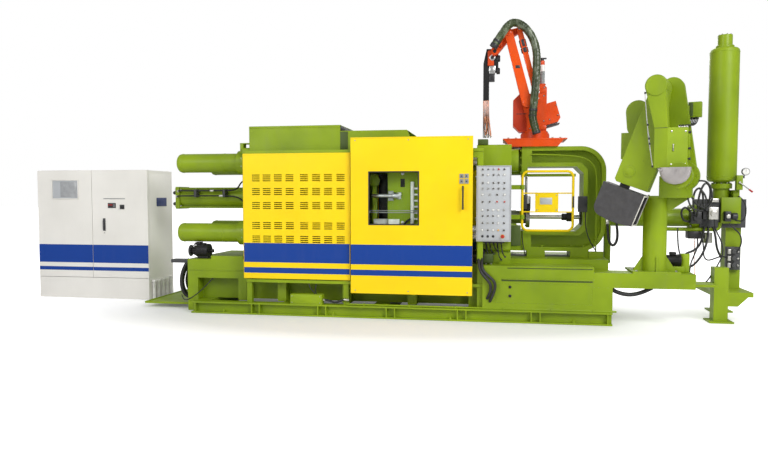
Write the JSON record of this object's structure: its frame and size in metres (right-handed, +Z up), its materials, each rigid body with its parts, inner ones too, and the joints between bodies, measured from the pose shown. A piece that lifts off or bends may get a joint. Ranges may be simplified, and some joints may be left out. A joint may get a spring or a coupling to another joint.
{
  "type": "die casting machine",
  "caption": "Cold chamber die casting machine with sliding safety door, spray robot, ladle arm, accumulator and control cabinet.",
  "frame": {"origin": "on the floor, under the die face of the fixed platen, on the machine's centre line", "axes": "+X along the machine towards the accumulator, +Y away from the operator's side, +Z up"},
  "size_m": [10.39, 2.4385, 3.9529],
  "materials": {
    "green_paint": "glossy lime green enamel",
    "yellow_paint": "glossy yellow enamel with blue stripes",
    "cabinet_white": "off-white powder coat with blue stripes",
    "bright_steel": "ground and oiled steel",
    "panel_silver": "silver grey panel",
    "robot_orange": "orange red enamel",
    "black_paint": "black satin paint",
    "hose_sleeve": "olive grey woven protective sleeve round the hoses",
    "window_glass": "clear window pane",
    "ladle_iron": "dark coated casting ladle"
  },
  "bodies": {
    "machine": {"base_rails": "green_paint", "cross_beams": "green_paint", "clamp_bed": "green_paint", "slideways": "green_paint", "shot_bed": "green_paint", "fixed_platen": "green_paint", "rear_platen": "green_paint", "c_frame": "green_paint", "c_frame_flanges": "green_paint", "rear_hood": "green_paint", "front_hood": "green_paint", "guard_posts": "green_paint", "guard_beams": "green_paint", "back_guard": "green_paint", "bar_covers": "green_paint", "closing_cylinder": "green_paint", "ladle_beam": "green_paint", "ladle_column": "green_paint", "ladle_drive": "green_paint", "shot_cylinder": "green_paint", "accumulator": "green_paint", "accumulator_stand": "green_paint", "guard_bracket": "green_paint", "terminal_box": "green_paint", "louvre_panel": "yellow_paint", "cabinet_body": "cabinet_white", "tie_bars": "bright_steel", "tie_bar_nuts": "bright_steel", "shot_sleeve": "bright_steel", "door_tracks": "bright_steel", "control_panel": "panel_silver", "robot_base": "robot_orange", "die_height_motor": "black_paint", "valve_block": "black_paint"},
    "safety_door": {"safety_door": "yellow_paint", "door_window": "window_glass", "door_handle": "black_paint"},
    "moving_platen": {"moving_platen": "green_paint"},
    "plunger": {"shot_plunger": "bright_steel"},
    "shot_guard": {"shot_guard": "yellow_paint"},
    "cabinet_left_door": {"cabinet_door_left": "cabinet_white"},
    "cabinet_right_door": {"cabinet_door_right": "cabinet_white"},
    "robot_swivel": {"robot_swivel": "robot_orange", "robot_hose_lower": "hose_sleeve"},
    "robot_lower_arm": {"robot_lower_arm": "robot_orange"},
    "robot_link": {"robot_link": "robot_orange"},
    "robot_upper_arm": {"robot_upper_arm": "robot_orange", "robot_hose_upper": "hose_sleeve"},
    "spray_head": {"spray_head": "black_paint"},
    "ladle_lower_arm": {"ladle_lower_arm": "green_paint"},
    "ladle_forearm": {"ladle_forearm": "green_paint"},
    "ladle_cup": {"ladle_cup": "ladle_iron"}
  },
  "joints": [
    {"name": "safety_door_slide", "type": "slide", "parent": "machine", "child": "safety_door", "axis": [-1, 0, 0], "range_m": [0, 1.4]},
    {"name": "moving_platen_slide", "type": "slide", "parent": "machine", "child": "moving_platen", "axis": [1, 0, 0], "range_m": [-0.6, 0.35]},
    {"name": "plunger_slide", "type": "slide", "parent": "machine", "child": "plunger", "axis": [-1, 0, 0], "range_m": [0, 0.49]},
    {"name": "shot_guard_hinge", "type": "hinge", "parent": "machine", "child": "shot_guard", "pos_m": [0.59, -0.35, 1.345], "axis": [0, 0, -1], "range_deg": [0, 90]},
    {"name": "cabinet_left_door_hinge", "type": "hinge", "parent": "machine", "child": "cabinet_left_door", "pos_m": [-6.92, 0.01, 1.2], "axis": [0, 0, -1], "range_deg": [0, 110]},
    {"name": "cabinet_right_door_hinge", "type": "hinge", "parent": "machine", "child": "cabinet_right_door", "pos_m": [-5.06, 0.01, 1.2], "axis": [0, 0, 1], "range_deg": [0, 110]},
    {"name": "robot_turn", "type": "hinge", "parent": "machine", "child": "robot_swivel", "pos_m": [0.76, 0, 2.5], "axis": [0, 0, 1], "range_deg": [-120, 120]},
    {"name": "robot_arm_swing", "type": "hinge", "parent": "robot_swivel", "child": "robot_lower_arm", "pos_m": [0.64, -0.19, 2.86], "axis": [0, -1, 0], "range_deg": [-12, 35]},
    {"name": "robot_link_swing", "type": "hinge", "parent": "robot_swivel", "child": "robot_link", "pos_m": [0.78, -0.19, 2.91], "axis": [0, -1, 0], "range_deg": [-12, 35]},
    {"name": "robot_upper_arm_hinge", "type": "hinge", "parent": "robot_lower_arm", "child": "robot_upper_arm", "pos_m": [0.39, -0.19, 3.8], "axis": [0, -1, 0], "range_deg": [-35, 12]},
    {"name": "spray_head_tilt", "type": "hinge", "parent": "robot_upper_arm", "child": "spray_head", "pos_m": [0.205, -0.09, 3.58], "axis": [0, -1, 0], "range_deg": [-45, 15]},
    {"name": "ladle_arm_swing", "type": "hinge", "parent": "machine", "child": "ladle_lower_arm", "pos_m": [2.43888, -1.05796, 1.84], "axis": [-0.3505, -0.9366, 0], "range_deg": [-12, 25]},
    {"name": "ladle_forearm_swing", "type": "hinge", "parent": "ladle_lower_arm", "child": "ladle_forearm", "pos_m": [2.15997, -1.06142, 2.88], "axis": [-0.3505, -0.9366, 0], "range_deg": [-25, 12]},
    {"name": "ladle_tilt", "type": "hinge", "parent": "ladle_forearm", "child": "ladle_cup", "pos_m": [1.86964, -0.95277, 1.9], "axis": [0.3505, 0.9366, 0], "range_deg": [0, 45]}
  ],
  "couplings": [
    {"joint": "robot_link_swing", "follows": "robot_arm_swing", "ratio": 1},
    {"joint": "robot_upper_arm_hinge", "follows": "robot_arm_swing", "ratio": -1},
    {"joint": "ladle_forearm_swing", "follows": "ladle_arm_swing", "ratio": -1}
  ]
}
